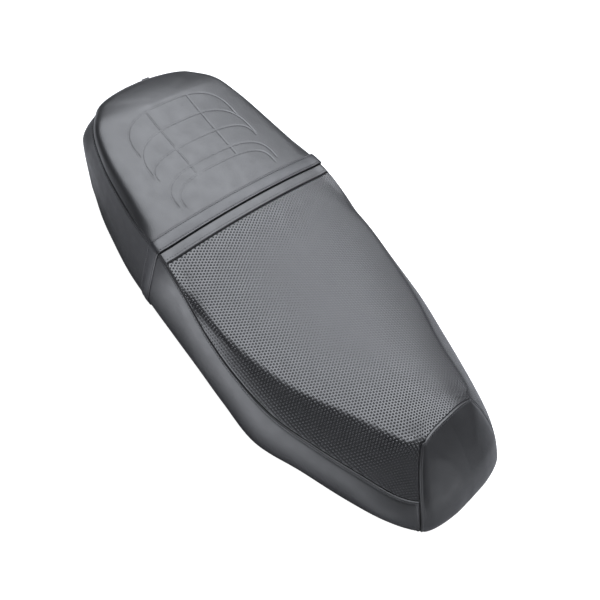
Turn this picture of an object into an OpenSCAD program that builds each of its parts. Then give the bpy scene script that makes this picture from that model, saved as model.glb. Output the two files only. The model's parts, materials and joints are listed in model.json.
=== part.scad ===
// Dual scooter seat: sewn vinyl cover over foam on a moulded base pan, with a grab strap,
// a front hinge, a rear latch striker and rubber feet.
// X points forward to the nose, Y to the rider's left and Z up.
// The origin lies under the middle of the seat, on the plane of the rubber feet.

/* [Overall size] */
// Length from the tail to the nose
seat_length = 705; // [680:5:740]
// Width over the widest part of the side panels
seat_width = 326; // [314:2:342]
// Height of the passenger crown above the rubber feet
seat_height = 171; // [164:1:180]

/* [Cover and strap] */
// Thickness of the vinyl cover
cover_t = 1.2; // [1:0.1:1.5]
// Place of the strap's rear edge, measured from the tail
strap_rear = 220; // [200:1:240]
// Width of the grab strap
strap_w = 19; // [16:1:26]
// Thickness of the grab strap
strap_t = 2; // [1.5:0.1:2.5]
// Width of the plain strip in front of the strap
strip_w = 16; // [12:1:24]

/* [Base pan] */
// Wall thickness of the moulded pan
pan_t = 3; // [2.5:0.1:3.5]
// Width of the flange that the cover folds under
flange_w = 18; // [16:1:20]

/* [Hinge] */
// Diameter of the hinge pin
pin_d = 8; // [7:0.5:9]
// Place of the hinge pin, measured from the tail
hinge_x = 655; // [650:1:658]
// Height of the hinge pin above the feet
hinge_z = 16; // [15:0.5:17]
// Spacing of the frame bolts along the seat
frame_bolt_x = 22; // [20:1:24]
// Spacing of the frame bolts across the seat
frame_bolt_y = 56; // [50:1:60]
// Diameter of the frame bolt holes
frame_bolt_d = 6.6; // [5.5:0.1:7]

/* [Latch striker] */
// Diameter of the striker rod
striker_d = 8; // [7:0.5:9]
// Place of the striker, measured from the tail
striker_x = 80; // [76:1:90]

/* [Rubber feet] */
// Diameter of a rubber foot
foot_d = 26; // [22:1:28]
// Height of a rubber foot below its pedestal
foot_h = 14; // [12:0.5:16]

/* [Hidden] */
$fn = 48;

// The lines below are drawn for a seat of this length, width and height.
drawn = [705, 326, 171];
size = [seat_length / drawn.x, seat_width / drawn.y, seat_height / drawn.z];

// Cross-sections from tail to nose. Each row holds the distance from the tail, then half width
// and height on the top crease, on the side seam, on the belly and on the bottom edge.
SECTIONS = [
  [24,  [78, 160],  [84, 140],  [99, 110], [78, 13]],
  [51,  [104, 161], [104, 140], [108, 103], [90, 12]],
  [84,  [118, 155], [118, 137], [118, 92], [104, 11]],
  [116, [125, 150], [128, 134], [127, 80], [115, 12]],
  [181, [132, 141], [142, 131], [142, 58], [133, 13]],
  [241, [134, 131], [149, 130], [149, 39], [141, 12]],
  [291, [142, 117], [153, 115], [152, 28], [145, 10]],
  [346, [148, 105], [155, 89],  [157, 25], [151, 7]],
  [406, [138, 97],  [157, 75],  [161, 20], [158, 4]],
  [471, [120, 94],  [152, 65],  [163, 14], [162, 2]],
  [536, [91, 95],   [134, 60],  [147, 22], [145, 8]],
  [596, [69, 101],  [114, 57],  [128, 25], [128, 9]]
];
// The nose, where each line turns across the seat. Rows hold the place along the outline and
// the [x, y, z] of the same four lines.
NOSE = [
  [640, [606, 62, 104], [640, 97, 54], [647, 112, 25], [646, 109, 10]],
  [680, [613, 55, 106], [664, 81, 56], [686, 86, 26],  [690, 84, 10]],
  [695, [617, 47, 108], [674, 68, 58], [697, 70, 27],  [698, 69, 10]],
  [725, [620, 23, 111], [682, 34, 61], [704, 35, 28],  [702, 35, 10]],
  [750, [621, 0, 112],  [683, 0, 62],  [705, 0, 29],   [702, 0, 10]]
];
// Tail end of the four lines on the middle of the seat: distance, height, and how many degrees
// of an ellipse the line turns through on its way there.
TAIL = [[11, 162, 75], [0, 141, 65], [0, 110, 80], [8, 14, 82]];
tail_steps = 4;
corner_place = 680;
front_place = 750;
first_x = SECTIONS[0][0];
last_x = SECTIONS[len(SECTIONS) - 1][0];

// An elliptic arc closes each line from the first cross-section round to the tail.
function tail_point(k, share) =
  let (side = SECTIONS[0][k + 1], end = TAIL[k], arc = end[2])
  let (out = sin(arc * share) / sin(arc), ahead = (1 - cos(arc * share)) / (1 - cos(arc)))
  [end[0] + (first_x - end[0]) * ahead, side[0] * out, end[1] + (side[1] - end[1]) * out];
tail_rows = [for (i = [0:tail_steps - 1])
  concat([first_x * i / tail_steps], [for (k = [0:3]) tail_point(k, i / tail_steps)])];
side_rows = [for (r = SECTIONS) concat([r[0]], [for (k = [1:4]) [r[0], r[k][0], r[k][1]]])];
ROWS = concat(tail_rows, side_rows, NOSE);
row_count = len(ROWS);

function clamp(v, low, high) = min(max(v, low), high);
function unit(v) = v / norm(v);
function lerp(a, b, t) = a + (b - a) * t;

// Smooth curve through the rows, by cubic pieces whose slopes come from the neighbours.
function row_slope(i, k) =
  let (a = max(i - 1, 0), b = min(i + 1, row_count - 1))
  (ROWS[b][k] - ROWS[a][k]) / (ROWS[b][0] - ROWS[a][0]);
function row_before(place) = clamp(len([for (r = ROWS) if (r[0] <= place) 1]) - 1, 0, row_count - 2);
function line_point(place, k) =
  let (i = row_before(place), h = ROWS[i + 1][0] - ROWS[i][0], t = (place - ROWS[i][0]) / h)
  ROWS[i][k] * (1 + 2 * t) * (1 - t) * (1 - t) + row_slope(i, k) * h * t * (1 - t) * (1 - t)
  + ROWS[i + 1][k] * t * t * (3 - 2 * t) - row_slope(i + 1, k) * h * t * t * (1 - t);

// The crown line down the middle of the top, which stops short of both ends.
crown = 9;
spine_start = 60;
spine_end = 596;
function spine_point(place) =
  let (c = line_point(place, 1), x = clamp(c.x, spine_start, spine_end))
  [x, 0, line_point(x, 1).z + crown];

// Point of the outer skin. Band 0 to 1 runs from the crown to the crease, 2 is the seam,
// 3 the belly, 4 the bottom edge and 5 the end of the hem under the flange.
hem_w = 14;
function top_point(place, band) =
  let (c = line_point(place, 1), m = spine_point(place), p = lerp(m, c, band))
  [p.x, p.y, c.z + (m.z - c.z) * (1 - band * band)];
function inward(place) =
  let (e = line_point(place, 4), x = clamp(e.x, spine_start, spine_end)) unit([x - e.x, -e.y, 0]);
function hem_point(place) = line_point(place, 4) + inward(place) * hem_w;
function band_knot(place, k) =
  k <= 0 ? top_point(place, 0.8) : k >= 5 ? hem_point(place) : line_point(place, k);

// The skin leaves the crease and meets the seam with slopes no longer than this share of the
// span between them, so that it doesn't bulge where the two run close together.
crease_reach = 0.6;
function held(v, most) = v * min(1, most / norm(v));
function skin_point(place, band) =
  band <= 1 ? top_point(place, band)
  : band >= 4 ? lerp(line_point(place, 4), hem_point(place), band - 4)
  : let (
      k = floor(band), t = band - k, p0 = band_knot(place, k - 1), p1 = band_knot(place, k),
      p2 = band_knot(place, k + 1), p3 = band_knot(place, min(k + 2, 4)),
      bend = 0.35, reach = norm(p2 - p1) * crease_reach,
      m1 = k == 1 ? held((p2 - p0) * bend, reach) : (p2 - p0) * bend,
      m2 = k == 1 ? held((p3 - p1) * bend, reach) : (p3 - p1) * bend
    )
    p1 * (1 + 2 * t) * (1 - t) * (1 - t) + m1 * t * (1 - t) * (1 - t)
    + p2 * t * t * (3 - 2 * t) - m2 * t * t * (1 - t);

// Outward normal of the skin, from two short steps along it. It is straight down under the
// hem, and has no sideways part on the crown line.
hem_band = 4.3;
crown_band = 0.02;
end_gap = 0.5;
function crown_normal(place, ds) =
  unit([-(spine_point(place + ds).z - spine_point(place).z) / ds, 0, 1]);
function skin_normal(place, band) =
  let (
    ds = 2, db = 0.04, s0 = max(place - ds, end_gap), s1 = min(place + ds, front_place - end_gap),
    b0 = max(band - db, 0), b1 = min(band + db, 5),
    along = skin_point(s1, band) - skin_point(s0, band),
    round = skin_point(place, b1) - skin_point(place, b0)
  )
  band >= hem_band ? [0, 0, -1]
  : band <= crown_band ? crown_normal(place, ds)
  : unit(cross(along, round));

// A point of the skin moved outward by d, on side 1 (left) or -1 (right), in the seat's own frame.
function placed(p, side) = [
  (p.x - drawn.x / 2) * size.x, side * p.y * size.y, p.z * size.z
];
function on_axis(place) = place <= 0 || place >= front_place;
function offset_skin(place, band, d, side) =
  let (n = skin_normal(place, band), p = skin_point(place, band) + n * d)
  placed(on_axis(place) ? [p.x, 0, p.z] : [p.x, max(p.y, 0), p.z], side);

// Places along the outline where the skin is sampled. Panel edges fall on samples.
function steps(a, b, n) = [for (i = [0:n - 1]) lerp(a, b, i / n)];
strap_front = strap_rear + strap_w;
strip_front = strap_front + strip_w;
PLACES = concat(
  steps(0, first_x, 6), steps(first_x, strap_rear, 8), [strap_rear], [strap_front],
  steps(strip_front, last_x, 14), steps(last_x, corner_place, 4),
  steps(corner_place, front_place, 5), [front_place]
);
TOP_BANDS = [0, 0.3, 0.6, 0.85, 1, 1.25, 1.6, 2];
SIDE_BANDS = [2, 2.35, 2.7, 3, 3.5, 4, 4.5, 5];

// Closed shell over a grid of outer and inner points, rows from tail to nose and columns from right
// to left. has(i, j) says which cells exist. A folded row lies on the middle plane of the seat, so
// its right and left halves share their points. A wall closes each open edge. Each cell is split
// into two triangles, along the other diagonal where the grid runs the other way round.
function wall(open, a, b, n) = open ? [[a, b, b + n], [a, b + n, a + n]] : [];
module shell(outer, inner, has, folded, other_diagonal = false) {
  rows = len(outer);
  cols = len(outer[0]);
  n = rows * cols;
  id = function(i, j) i * cols + (folded(i) ? min(j, cols - 1 - j) : j);
  cell = function(i, j) i >= 0 && j >= 0 && i < rows - 1 && j < cols - 1 && has(i, j);
  faces = [for (i = [0:rows - 2], j = [0:cols - 2]) if (cell(i, j))
    let (a = id(i, j), b = id(i, j + 1), c = id(i + 1, j + 1), d = id(i + 1, j))
    each concat(
      other_diagonal ? [[a, b, d], [b, c, d], [d + n, b + n, a + n], [d + n, c + n, b + n]]
        : [[a, b, c], [a, c, d], [c + n, b + n, a + n], [d + n, c + n, a + n]],
      wall(!cell(i - 1, j) && !folded(i), b, a, n),
      wall(!cell(i + 1, j) && !folded(i + 1), d, c, n),
      wall(!cell(i, j - 1), a, d, n),
      wall(!cell(i, j + 1), c, b, n)
    )];
  polyhedron([for (r = outer) each r, for (r = inner) each r], faces);
}

// The bands of a list on the right-hand side, then on the left, as [band, side].
function reversed(v) = [for (i = [len(v) - 1:-1:0]) v[i]];
function across(bands) = [
  for (b = reversed(bands)) [b, -1],
  for (b = bands) if (b > bands[0] || bands[0] > 0) [b, 1]
];
function skin_grid(places, columns, d) =
  [for (p = places) [for (c = columns) offset_skin(p, c[0], d, c[1])]];
function places_between(a, b) = [for (p = PLACES) if (p > a - 0.01 && p < b + 0.01) p];

// Panel of the cover that crosses the seat from seam to seam, between two places.
module crossing_panel(from, to) {
  places = places_between(from, to);
  columns = across(TOP_BANDS);
  shell(
    skin_grid(places, columns, 0), skin_grid(places, columns, -cover_t),
    function(i, j) places[i] < corner_place - 0.01 || max(columns[j][0], columns[j + 1][0]) <= 1,
    function(i) on_axis(places[i])
  );
}
module side_panel(side) {
  places = places_between(0, corner_place);
  columns = [for (b = side > 0 ? SIDE_BANDS : reversed(SIDE_BANDS)) [b, side]];
  difference() {
    shell(
      skin_grid(places, columns, 0), skin_grid(places, columns, -cover_t),
      function(i, j) true, function(i) false
    );
    strap_screw_hole(side);
  }
}

// Heights and insets of the pan. Ring 0 is the middle line, 1 the edge of the deck, 2 the foot of
// its rounded edge, 3 the inner and 4 the outer edge of the flange. rise is the height above the
// underside, and the walls move inward by as much.
deck_rear = 60;
deck_front = 38;
deck_level_to = 120;
deck_level_from = 560;
flange_gap = 1.6;
rim_inset = 2;
wall_lean = 4;
deck_round = 7;
function deck_height(x) =
  lerp(deck_rear, deck_front, clamp((x - deck_level_to) / (deck_level_from - deck_level_to), 0, 1));
function pan_ring(place, ring, rise) =
  let (
    e = line_point(place, 4), n = inward(place),
    insets = [0, flange_w + wall_lean + deck_round, flange_w + wall_lean, flange_w, rim_inset],
    inset = insets[ring] - (ring < 4 ? rise : 0), p = e + n * inset, h = deck_height(p.x)
  )
  ring == 0 ? let (m = spine_point(place)) [m.x, 0, deck_height(m.x) + rise]
  : [p.x, p.y, ring == 1 ? h + rise : ring == 2 ? h - deck_round + rise / 2 : e.z + flange_gap + rise];
function pan_point(place, u, rise, side) =
  let (k = min(floor(u), 3), p = lerp(pan_ring(place, k, rise), pan_ring(place, k + 1, rise), u - k))
  placed(on_axis(place) ? [p.x, 0, p.z] : p, side);
PAN_COLUMNS = across([0, 0.4, 0.8, 0.95, 1, 1.3, 1.7, 2, 2.5, 3, 3.5, 4]);
function pan_grid(rise) = [for (p = PLACES) [for (c = PAN_COLUMNS) pan_point(p, c[0], rise, c[1])]];

// Feet: place along the seat, distance from the middle.
FEET = [[110, 62], [330, 95], [520, 85]];
foot_stem_d = 8;
foot_stem_h = 10;
pedestal_wall = 3;
fit_gap = 0.05;
module at(x, y, z) translate(placed([x, y, 0], 1) + [0, 0, z]) children();
module at_each_foot() {
  for (f = FEET, side = [-1, 1]) at(f.x, side * f.y, 0) children();
}

// Screws. Rows hold place, distance from the middle and height of the boss face.
boss_d = 16;
insert_d = 8;
insert_h = 8.5;
screw_d = 6;
head_d = 10.5;
head_h = 3;
hinge_boss_z = 31;
striker_boss_z = 50;
bracket_t = 3;
bracket_screw_x = 16;
bracket_screw_y = 22;
striker_screw_x = 15;
striker_screw_y = 22;
bracket_x = hinge_x - 5;
HINGE_SCREWS = [for (i = [-1, 1], j = [-1, 1]) [bracket_x + i * bracket_screw_x, j * bracket_screw_y]];
STRIKER_SCREWS = [for (i = [-1, 1], j = [-1, 1]) [striker_x + i * striker_screw_x, j * striker_screw_y]];
module bosses(spots, z, deck) {
  for (s = spots) at(s.x, s.y, z) cylinder(d = boss_d, h = deck - z + pan_t / 2);
}
module boss_holes(spots, z) {
  for (s = spots) at(s.x, s.y, z - 1) cylinder(d = insert_d, h = insert_h + 1);
}
module screw(z) {
  translate([0, 0, z - head_h]) cylinder(d = head_d, h = head_h);
  translate([0, 0, z - fit_gap]) cylinder(d = screw_d, h = bracket_t + insert_h - 1);
}

// Strap end, under the flange: place, distance from the middle and heights.
strap_gap = 0.3;
strap_mid = strap_rear + strap_w / 2;
strap_end_inset = 10;
strap_edge = line_point(strap_mid, 4);
strap_end_y = strap_edge.y - strap_end_inset;
hem_z = line_point(strap_mid, 4).z;
strap_under_z = hem_z * size.z - strap_gap - strap_t;
clamp_t = 1.8;
clamp_gap = 0.5;
clamp_z = strap_under_z - clamp_gap - clamp_t;
strap_screw_d = 4.5;
strap_head_h = 2.4;
strap_hole_d = 5;
strap_hole_h = 14;
module at_strap_end(side, z) {
  at(strap_mid, side * strap_end_y, z) children();
}
module strap_screw_hole(side) {
  at_strap_end(side, clamp_z - 1) cylinder(d = strap_hole_d, h = strap_hole_h);
}

module base_pan() {
  color("dimgray") difference() {
    union() {
      shell(pan_grid(pan_t), pan_grid(0), function(i, j) true, function(i) on_axis(PLACES[i]));
      for (f = FEET, side = [-1, 1]) at(f.x, side * f.y, foot_h)
        cylinder(d = foot_d + 2 * pedestal_wall, h = deck_height(f.x) * size.z + pan_t / 2 - foot_h);
      bosses(HINGE_SCREWS, hinge_boss_z, deck_front * size.z);
      bosses(STRIKER_SCREWS, striker_boss_z, deck_rear * size.z);
    }
    at_each_foot() translate([0, 0, foot_h - 1])
      cylinder(d = foot_stem_d + 2 * fit_gap, h = foot_stem_h + 2);
    boss_holes(HINGE_SCREWS, hinge_boss_z);
    boss_holes(STRIKER_SCREWS, striker_boss_z);
    for (side = [-1, 1]) strap_screw_hole(side);
  }
}

// The foam lies on the pan and ends where the cover turns under.
foam_gap = 0.4;
foam_edge = 3.5;
module foam_cushion() {
  columns = across(concat(TOP_BANDS, [2.35, 2.7, 3, foam_edge]));
  color("khaki") shell(
    skin_grid(PLACES, columns, -cover_t), pan_grid(pan_t + foam_gap),
    function(i, j) true, function(i) on_axis(PLACES[i])
  );
}

module passenger_top_panel() {
  color("dimgray") crossing_panel(0, strap_front);
}
module step_strip_panel() {
  color("dimgray") crossing_panel(strap_front, strip_front);
}
module rider_top_panel() {
  color("gray") crossing_panel(strip_front, front_place);
}
module nose_panel() {
  places = places_between(corner_place, front_place);
  spots = [
    for (p = places) [p, -1],
    for (p = reversed(places)) if (p < front_place) [p, 1]
  ];
  bands = concat([1, 1.25, 1.6], SIDE_BANDS);
  color("dimgray") shell(
    [for (b = bands) [for (q = spots) offset_skin(q[0], b, 0, q[1])]],
    [for (b = bands) [for (q = spots) offset_skin(q[0], b, -cover_t, q[1])]],
    function(i, j) true, function(i) false, true
  );
}
module side_panel_left() {
  color("gray") side_panel(1);
}
module side_panel_right() {
  color("gray") side_panel(-1);
}

// Staples that hold the hem to the flange, evenly spaced round the outline.
staple_pitch = 36;
staple_w = 11;
staple_wire = 0.8;
staple_aim = 0.3;
staple_gap = 0.1;
nose_end_gap = 12;
corner_gap = 8;
staple_leg = 4.6;
staple_band = 4.55;
TAIL_STAPLES = [3, 11, 19];
STAPLE_PLACES = concat(TAIL_STAPLES, [for (p = [first_x + staple_pitch:staple_pitch:front_place - nose_end_gap])
  if (abs(p - strap_mid) > strap_w && abs(p - corner_place) > corner_gap) p]);
module staple() {
  rotate([90, 0, 0]) translate([0, 0, -staple_wire]) linear_extrude(height = 2 * staple_wire)
    difference() {
      translate([-staple_w / 2, 0]) square([staple_w, staple_leg]);
      translate([-staple_w / 2 + staple_wire, staple_wire])
        square([staple_w - 2 * staple_wire, staple_leg]);
    }
}
module hem_staples() {
  color("silver") for (p = STAPLE_PLACES, side = [-1, 1]) {
    spot = offset_skin(p, staple_band, 0, side);
    away = offset_skin(p, staple_band - staple_aim, 0, side) - spot;
    translate([spot.x, spot.y, spot.z - staple_wire - staple_gap])
      rotate([0, 0, atan2(away.y, away.x) + 90]) staple();
  }
}

// A folded tape sewn into the tail seam.
tab_w = 12;
tab_t = 1.8;
tab_out = 7;
tab_y = 24;
tab_place = 5.5;
tab_band = 1.85;
tab_tilt = 12;
tab_gap = 0.3;
module rear_seam_tab() {
  spot = offset_skin(tab_place, tab_band, 0, 1);
  color("black") translate([spot.x - tab_out, tab_y * size.y - tab_w / 2, spot.z])
    rotate([0, tab_tilt, 0]) cube([tab_out - tab_gap, tab_w, tab_t]);
}

module grab_strap() {
  bands = concat(TOP_BANDS, [2.35, 2.7, 3, 3.5, 4, 4.5, 5]);
  columns = across(bands);
  places = places_between(strap_rear, strap_front);
  color("dimgray") difference() {
    shell(
      skin_grid(places, columns, strap_gap + strap_t), skin_grid(places, columns, strap_gap),
      function(i, j) true, function(i) false
    );
    for (side = [-1, 1]) strap_screw_hole(side);
  }
}
clamp_size = [strap_w + 3, 12, clamp_t];
module strap_clamp(side) {
  color("silver") difference() {
    at_strap_end(side, clamp_z)
      translate([-clamp_size.x / 2, -clamp_size.y / 2, 0]) cube(clamp_size);
    strap_screw_hole(side);
  }
}
module strap_clamp_left() {
  strap_clamp(1);
}
module strap_clamp_right() {
  strap_clamp(-1);
}
module strap_screws() {
  head_z = clamp_z - fit_gap - strap_head_h;
  tip_z = hem_z * size.z + flange_gap + pan_t;
  color("silver") for (side = [-1, 1]) at_strap_end(side, head_z) {
    cylinder(d = 2 * strap_screw_d, h = strap_head_h);
    cylinder(d = strap_screw_d, h = tip_z - head_z);
  }
}

// Hinge. The bracket is screwed under the nose and its two ears carry the pin.
ear_y = 33;
ear_t = 3;
ear_r = 9;
ear_short = 0.5;
bore_reach = 100;
screw_clear = 0.6;
screw_reach = 20;
bracket_size = [46, 76, bracket_t];
pin_bore_gap = 0.05;
module along_y(x, z, y) {
  translate(placed([x, 0, 0], 1) + [0, y, z]) rotate([90, 0, 0]) children();
}
module screw_clearance(s, z) {
  at(s.x, s.y, z - screw_reach / 2) cylinder(d = screw_d + screw_clear, h = screw_reach);
}
module hinge_seat_bracket() {
  color("silver") difference() {
    union() {
      at(bracket_x, 0, hinge_boss_z - bracket_t)
        translate([-bracket_size.x / 2, -bracket_size.y / 2, 0]) cube(bracket_size);
      for (y = [-ear_y, ear_y + ear_t]) {
        along_y(hinge_x, hinge_z, y) cylinder(r = ear_r, h = ear_t);
        along_y(hinge_x, hinge_z, y) translate([-ear_r, 0, 0])
          cube([2 * ear_r, hinge_boss_z - hinge_z - ear_short, ear_t]);
      }
    }
    along_y(hinge_x, hinge_z, bore_reach / 2)
      cylinder(d = pin_d + 2 * pin_bore_gap, h = bore_reach);
    for (s = HINGE_SCREWS) screw_clearance(s, hinge_boss_z);
  }
}
module hinge_bracket_screws() {
  color("silver") for (s = HINGE_SCREWS) at(s.x, s.y, 0) screw(hinge_boss_z - bracket_t);
}
pin_head_d = 13;
pin_head_h = 2.5;
pin_head_gap = 0.1;
pin_tail = 4.8;
clip_groove_d = pin_d - 2;
clip_t = 1.2;
clip_gap = 0.7;
module hinge_pin() {
  ear_face = ear_y + ear_t;
  color("gainsboro") difference() {
    union() {
      along_y(hinge_x, hinge_z, ear_face + pin_head_h + pin_head_gap)
        cylinder(d = pin_head_d, h = pin_head_h);
      along_y(hinge_x, hinge_z, ear_face + 2 * pin_head_gap)
        cylinder(d = pin_d, h = 2 * (ear_face + pin_head_gap) + pin_tail);
    }
    along_y(hinge_x, hinge_z, -ear_face - clip_gap + pin_head_gap) difference() {
      cylinder(d = pin_head_d, h = clip_t + 2 * pin_head_gap);
      translate([0, 0, -1]) cylinder(d = clip_groove_d, h = clip_t + 3);
    }
  }
}
module hinge_pin_clip() {
  color("silver") along_y(hinge_x, hinge_z, -ear_y - ear_t - clip_gap) difference() {
    cylinder(d = pin_head_d, h = clip_t);
    translate([0, 0, -1]) cylinder(d = clip_groove_d + pin_head_gap, h = clip_t + 2);
    translate([-clip_groove_d / 4, 0, -1]) cube([clip_groove_d / 2, pin_head_d, clip_t + 2]);
  }
}
bush_d = 12;
bush_l = 14;
flange_d = 16;
flange_t = 1.5;
barrel_d = 17;
ear_clear = 0.6;
barrel_half = ear_y - flange_t - ear_clear;
module hinge_bush(side) {
  color("ivory") along_y(hinge_x, hinge_z, 0) scale([1, 1, side]) difference() {
    union() {
      translate([0, 0, -barrel_half]) cylinder(d = bush_d, h = bush_l);
      translate([0, 0, -barrel_half - flange_t]) cylinder(d = flange_d, h = flange_t);
    }
    translate([0, 0, -barrel_half - flange_t - 1]) cylinder(d = pin_d + 2 * pin_bore_gap, h = bush_l + 5);
  }
}
module hinge_bush_left() {
  hinge_bush(1);
}
module hinge_bush_right() {
  hinge_bush(-1);
}
leaf_t = 3;
leaf_z = 2;
leaf_half = 40;
leaf_reach = 58;
leaf_past = 4;
web_rear = 6;
wide_short = 16;
bolt_mid = 36;
bolt_hole_h = 12;
frame_bolt_mid_x = hinge_x - bolt_mid;
module hinge_frame_leaf() {
  color("silver") difference() {
    union() {
      along_y(hinge_x, hinge_z, barrel_half) cylinder(d = barrel_d, h = 2 * barrel_half);
      along_y(hinge_x, hinge_z, barrel_half) translate([-leaf_reach, leaf_z - hinge_z, 0])
        cube([leaf_reach + leaf_past, leaf_t, 2 * barrel_half]);
      along_y(hinge_x, hinge_z, barrel_half) translate([-web_rear, leaf_z - hinge_z, 0])
        cube([web_rear + leaf_past, hinge_z - leaf_z, 2 * barrel_half]);
      along_y(hinge_x, hinge_z, leaf_half) translate([-leaf_reach, leaf_z - hinge_z, 0])
        cube([leaf_reach - wide_short, leaf_t, 2 * leaf_half]);
    }
    along_y(hinge_x, hinge_z, bore_reach / 2)
      cylinder(d = bush_d + 2 * fit_gap, h = bore_reach);
    for (i = [-1, 1], j = [-1, 1])
      translate(placed([frame_bolt_mid_x, 0, 0], 1) + [i * frame_bolt_x / 2, j * frame_bolt_y / 2, 0])
        cylinder(d = frame_bolt_d, h = bolt_hole_h);
  }
}

// Latch striker: a bent rod welded under a plate near the tail.
striker_plate_size = [50, 64, 3];
striker_leg_y = 15;
striker_bend = 9;
striker_low_z = 20;
weld_gap = 0.02;
module striker_plate() {
  color("silver") difference() {
    at(striker_x, 0, striker_boss_z - striker_plate_size.z)
      translate([-striker_plate_size.x / 2, -striker_plate_size.y / 2, 0]) cube(striker_plate_size);
    for (s = STRIKER_SCREWS) screw_clearance(s, striker_boss_z);
  }
}
module striker_loop() {
  top_z = striker_boss_z - striker_plate_size.z;
  color("gainsboro") at(striker_x, 0, 0) {
    for (side = [-1, 1]) {
      translate([0, side * striker_leg_y, striker_low_z + striker_bend])
        cylinder(d = striker_d, h = top_z - striker_low_z - striker_bend - weld_gap);
      translate([0, side * (striker_leg_y - striker_bend), striker_low_z + striker_bend])
        rotate([90, 0, 90]) rotate([0, 0, side > 0 ? -90 : 180])
        rotate_extrude(angle = 90) translate([striker_bend, 0]) circle(d = striker_d);
    }
    translate([0, striker_leg_y - striker_bend, striker_low_z]) rotate([90, 0, 0])
      cylinder(d = striker_d, h = 2 * (striker_leg_y - striker_bend));
  }
}
module striker_screws() {
  color("silver") for (s = STRIKER_SCREWS) at(s.x, s.y, 0) screw(striker_boss_z - striker_plate_size.z);
}
insert_gap = 0.1;
module insert(z) {
  translate([0, 0, z + insert_gap]) difference() {
    cylinder(d = insert_d - 2 * fit_gap, h = insert_h - 2 * insert_gap);
    translate([0, 0, -1]) cylinder(d = screw_d + 2 * fit_gap, h = insert_h + 2);
  }
}
module threaded_inserts() {
  color("goldenrod") {
    for (s = HINGE_SCREWS) at(s.x, s.y, 0) insert(hinge_boss_z);
    for (s = STRIKER_SCREWS) at(s.x, s.y, 0) insert(striker_boss_z);
  }
}

// Rubber foot with a stem pressed into its pedestal.
foot_edge = 2;
foot_gap = 0.02;
module foot(k, side) {
  color("black") at(FEET[k].x, side * FEET[k].y, 0) union() {
    cylinder(d1 = foot_d - 2 * foot_edge, d2 = foot_d, h = foot_edge);
    translate([0, 0, foot_edge]) cylinder(d = foot_d, h = foot_h - foot_edge - foot_gap);
    translate([0, 0, foot_h - foot_gap]) cylinder(d = foot_stem_d, h = foot_stem_h);
  }
}
module foot_rear_left() {
  foot(0, 1);
}
module foot_rear_right() {
  foot(0, -1);
}
module foot_middle_left() {
  foot(1, 1);
}
module foot_middle_right() {
  foot(1, -1);
}
module foot_front_left() {
  foot(2, 1);
}
module foot_front_right() {
  foot(2, -1);
}

base_pan();
foam_cushion();
passenger_top_panel();
step_strip_panel();
rider_top_panel();
nose_panel();
side_panel_left();
side_panel_right();
hem_staples();
rear_seam_tab();
grab_strap();
strap_clamp_left();
strap_clamp_right();
strap_screws();
hinge_seat_bracket();
hinge_bracket_screws();
hinge_pin();
hinge_pin_clip();
hinge_bush_left();
hinge_bush_right();
hinge_frame_leaf();
striker_plate();
striker_loop();
striker_screws();
threaded_inserts();
foot_rear_left();
foot_rear_right();
foot_middle_left();
foot_middle_right();
foot_front_left();
foot_front_right();
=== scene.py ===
"""Dual scooter seat: camera, cover, foam, stitching, hardware finishes, floor and light.

Lengths are in millimetres until a mesh is made. Distances along the seat count from the tail.
"""
import json
import math

import bpy
import numpy as np
from mathutils import Matrix, Vector
from mathutils.kdtree import KDTree

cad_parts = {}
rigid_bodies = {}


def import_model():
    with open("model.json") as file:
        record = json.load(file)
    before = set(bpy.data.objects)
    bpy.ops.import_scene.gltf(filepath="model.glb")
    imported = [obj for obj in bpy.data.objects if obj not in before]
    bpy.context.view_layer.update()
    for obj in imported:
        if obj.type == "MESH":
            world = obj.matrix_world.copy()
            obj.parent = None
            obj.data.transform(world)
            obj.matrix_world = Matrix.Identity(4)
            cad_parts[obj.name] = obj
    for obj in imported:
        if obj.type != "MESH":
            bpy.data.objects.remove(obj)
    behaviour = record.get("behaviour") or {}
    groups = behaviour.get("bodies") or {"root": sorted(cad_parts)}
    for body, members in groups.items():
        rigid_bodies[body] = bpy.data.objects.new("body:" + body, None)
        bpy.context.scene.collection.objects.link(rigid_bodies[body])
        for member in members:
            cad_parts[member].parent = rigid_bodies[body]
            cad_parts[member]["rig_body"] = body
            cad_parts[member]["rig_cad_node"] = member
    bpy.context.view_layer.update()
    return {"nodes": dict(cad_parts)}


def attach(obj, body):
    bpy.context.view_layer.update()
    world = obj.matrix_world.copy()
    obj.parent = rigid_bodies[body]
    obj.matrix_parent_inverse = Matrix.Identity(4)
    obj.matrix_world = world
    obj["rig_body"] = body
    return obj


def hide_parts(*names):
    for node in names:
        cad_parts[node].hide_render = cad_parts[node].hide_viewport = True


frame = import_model()

MM = 0.001
LENGTH = 705
MIDDLE = LENGTH / 2
SEAT = "seat"


# ---------------------------------------------------------------- camera

def make_camera():
    """A lens a little under 50 mm, seen from behind the rider's right side and rolled."""
    azimuth, elevation, roll = (math.radians(a) for a in (24.43, 51.74, 25.34))
    distance, shift_right, shift_up = 1.0776, 0.0079, -0.01838
    target = Vector((0, 0, 0.077))
    back = Vector((
        math.sin(azimuth) * math.cos(elevation),
        -math.cos(azimuth) * math.cos(elevation),
        math.sin(elevation),
    ))
    level = Vector((math.cos(azimuth), math.sin(azimuth), 0))
    up = back.cross(level)
    right = level * math.cos(roll) + up * math.sin(roll)
    up = back.cross(right)
    camera = bpy.data.objects.new("camera", bpy.data.cameras.new("camera"))
    bpy.context.scene.collection.objects.link(camera)
    turn = Matrix((right, up, back)).transposed().to_4x4()
    place = target + back * distance + right * shift_right + up * shift_up
    camera.matrix_world = Matrix.Translation(place) @ turn
    camera.data.sensor_width = 36
    camera.data.lens = 48.24
    camera.data.clip_start = 0.01
    bpy.context.scene.camera = camera


make_camera()

# ---------------------------------------------------------------- the seat's own lines

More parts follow.
